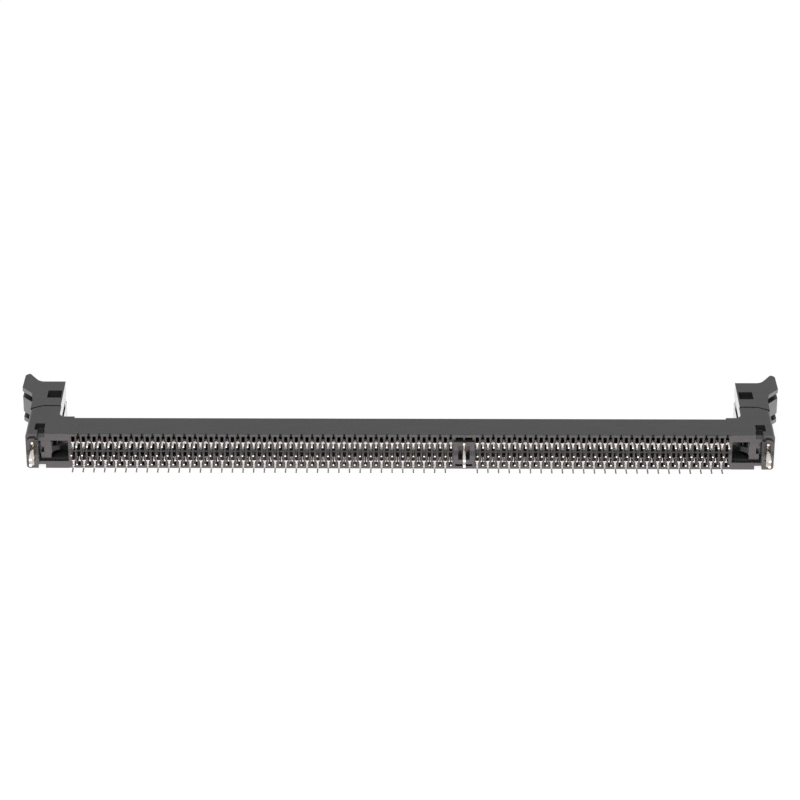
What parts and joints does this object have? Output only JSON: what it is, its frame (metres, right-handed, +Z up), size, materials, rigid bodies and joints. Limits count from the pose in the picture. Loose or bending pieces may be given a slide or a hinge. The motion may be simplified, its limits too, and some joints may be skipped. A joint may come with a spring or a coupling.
{
  "type": "card edge connector",
  "caption": "Upright through-board socket for a memory module: long slotted black housing, rows of spring contacts with solder tails, forked hold-downs and a swinging latch at each end.",
  "frame": {"origin": "middle of the socket, on the face of the board that it stands on", "axes": "+X along the socket towards the short bank, +Y across it, +Z up from the board, the way a module is pulled out"},
  "size_m": [0.1456, 0.0074, 0.0297],
  "materials": {
    "housing_plastic": "black glass-filled moulding, fine spark-eroded grain",
    "latch_plastic": "black moulding, fine grain",
    "contact_metal": "stamped copper alloy, tinned tails",
    "hold_down_metal": "stamped copper alloy, tinned"
  },
  "bodies": {
    "base": {"housing": "housing_plastic", "left_hold_down": "hold_down_metal", "key_hold_down": "hold_down_metal", "right_hold_down": "hold_down_metal", "front_contacts_01": "contact_metal", "front_contacts_02": "contact_metal", "front_contacts_03": "contact_metal", "front_contacts_04": "contact_metal", "front_contacts_05": "contact_metal", "front_contacts_06": "contact_metal", "front_contacts_07": "contact_metal", "front_contacts_08": "contact_metal", "front_contacts_09": "contact_metal", "front_contacts_10": "contact_metal", "front_contacts_11": "contact_metal", "front_contacts_12": "contact_metal", "front_contacts_13": "contact_metal", "front_contacts_14": "contact_metal", "front_contacts_15": "contact_metal", "front_contacts_16": "contact_metal", "front_contacts_17": "contact_metal", "front_contacts_18": "contact_metal", "front_contacts_19": "contact_metal", "front_contacts_20": "contact_metal", "back_contacts_01": "contact_metal", "back_contacts_02": "contact_metal", "back_contacts_03": "contact_metal", "back_contacts_04": "contact_metal", "back_contacts_05": "contact_metal", "back_contacts_06": "contact_metal", "back_contacts_07": "contact_metal", "back_contacts_08": "contact_metal", "back_contacts_09": "contact_metal", "back_contacts_10": "contact_metal", "back_contacts_11": "contact_metal", "back_contacts_12": "contact_metal", "back_contacts_13": "contact_metal", "back_contacts_14": "contact_metal", "back_contacts_15": "contact_metal", "back_contacts_16": "contact_metal", "back_contacts_17": "contact_metal", "back_contacts_18": "contact_metal", "back_contacts_19": "contact_metal", "back_contacts_20": "contact_metal"},
    "left_latch": {"left_latch": "latch_plastic"},
    "right_latch": {"right_latch": "latch_plastic"}
  },
  "joints": [
    {"name": "left_latch_hinge", "type": "hinge", "parent": "base", "child": "left_latch", "pos_m": [-0.0679, 0, 0.0037], "axis": [0, -1, 0], "range_deg": [0, 32]},
    {"name": "right_latch_hinge", "type": "hinge", "parent": "base", "child": "right_latch", "pos_m": [0.0679, 0, 0.0037], "axis": [0, 1, 0], "range_deg": [0, 32]}
  ]
}
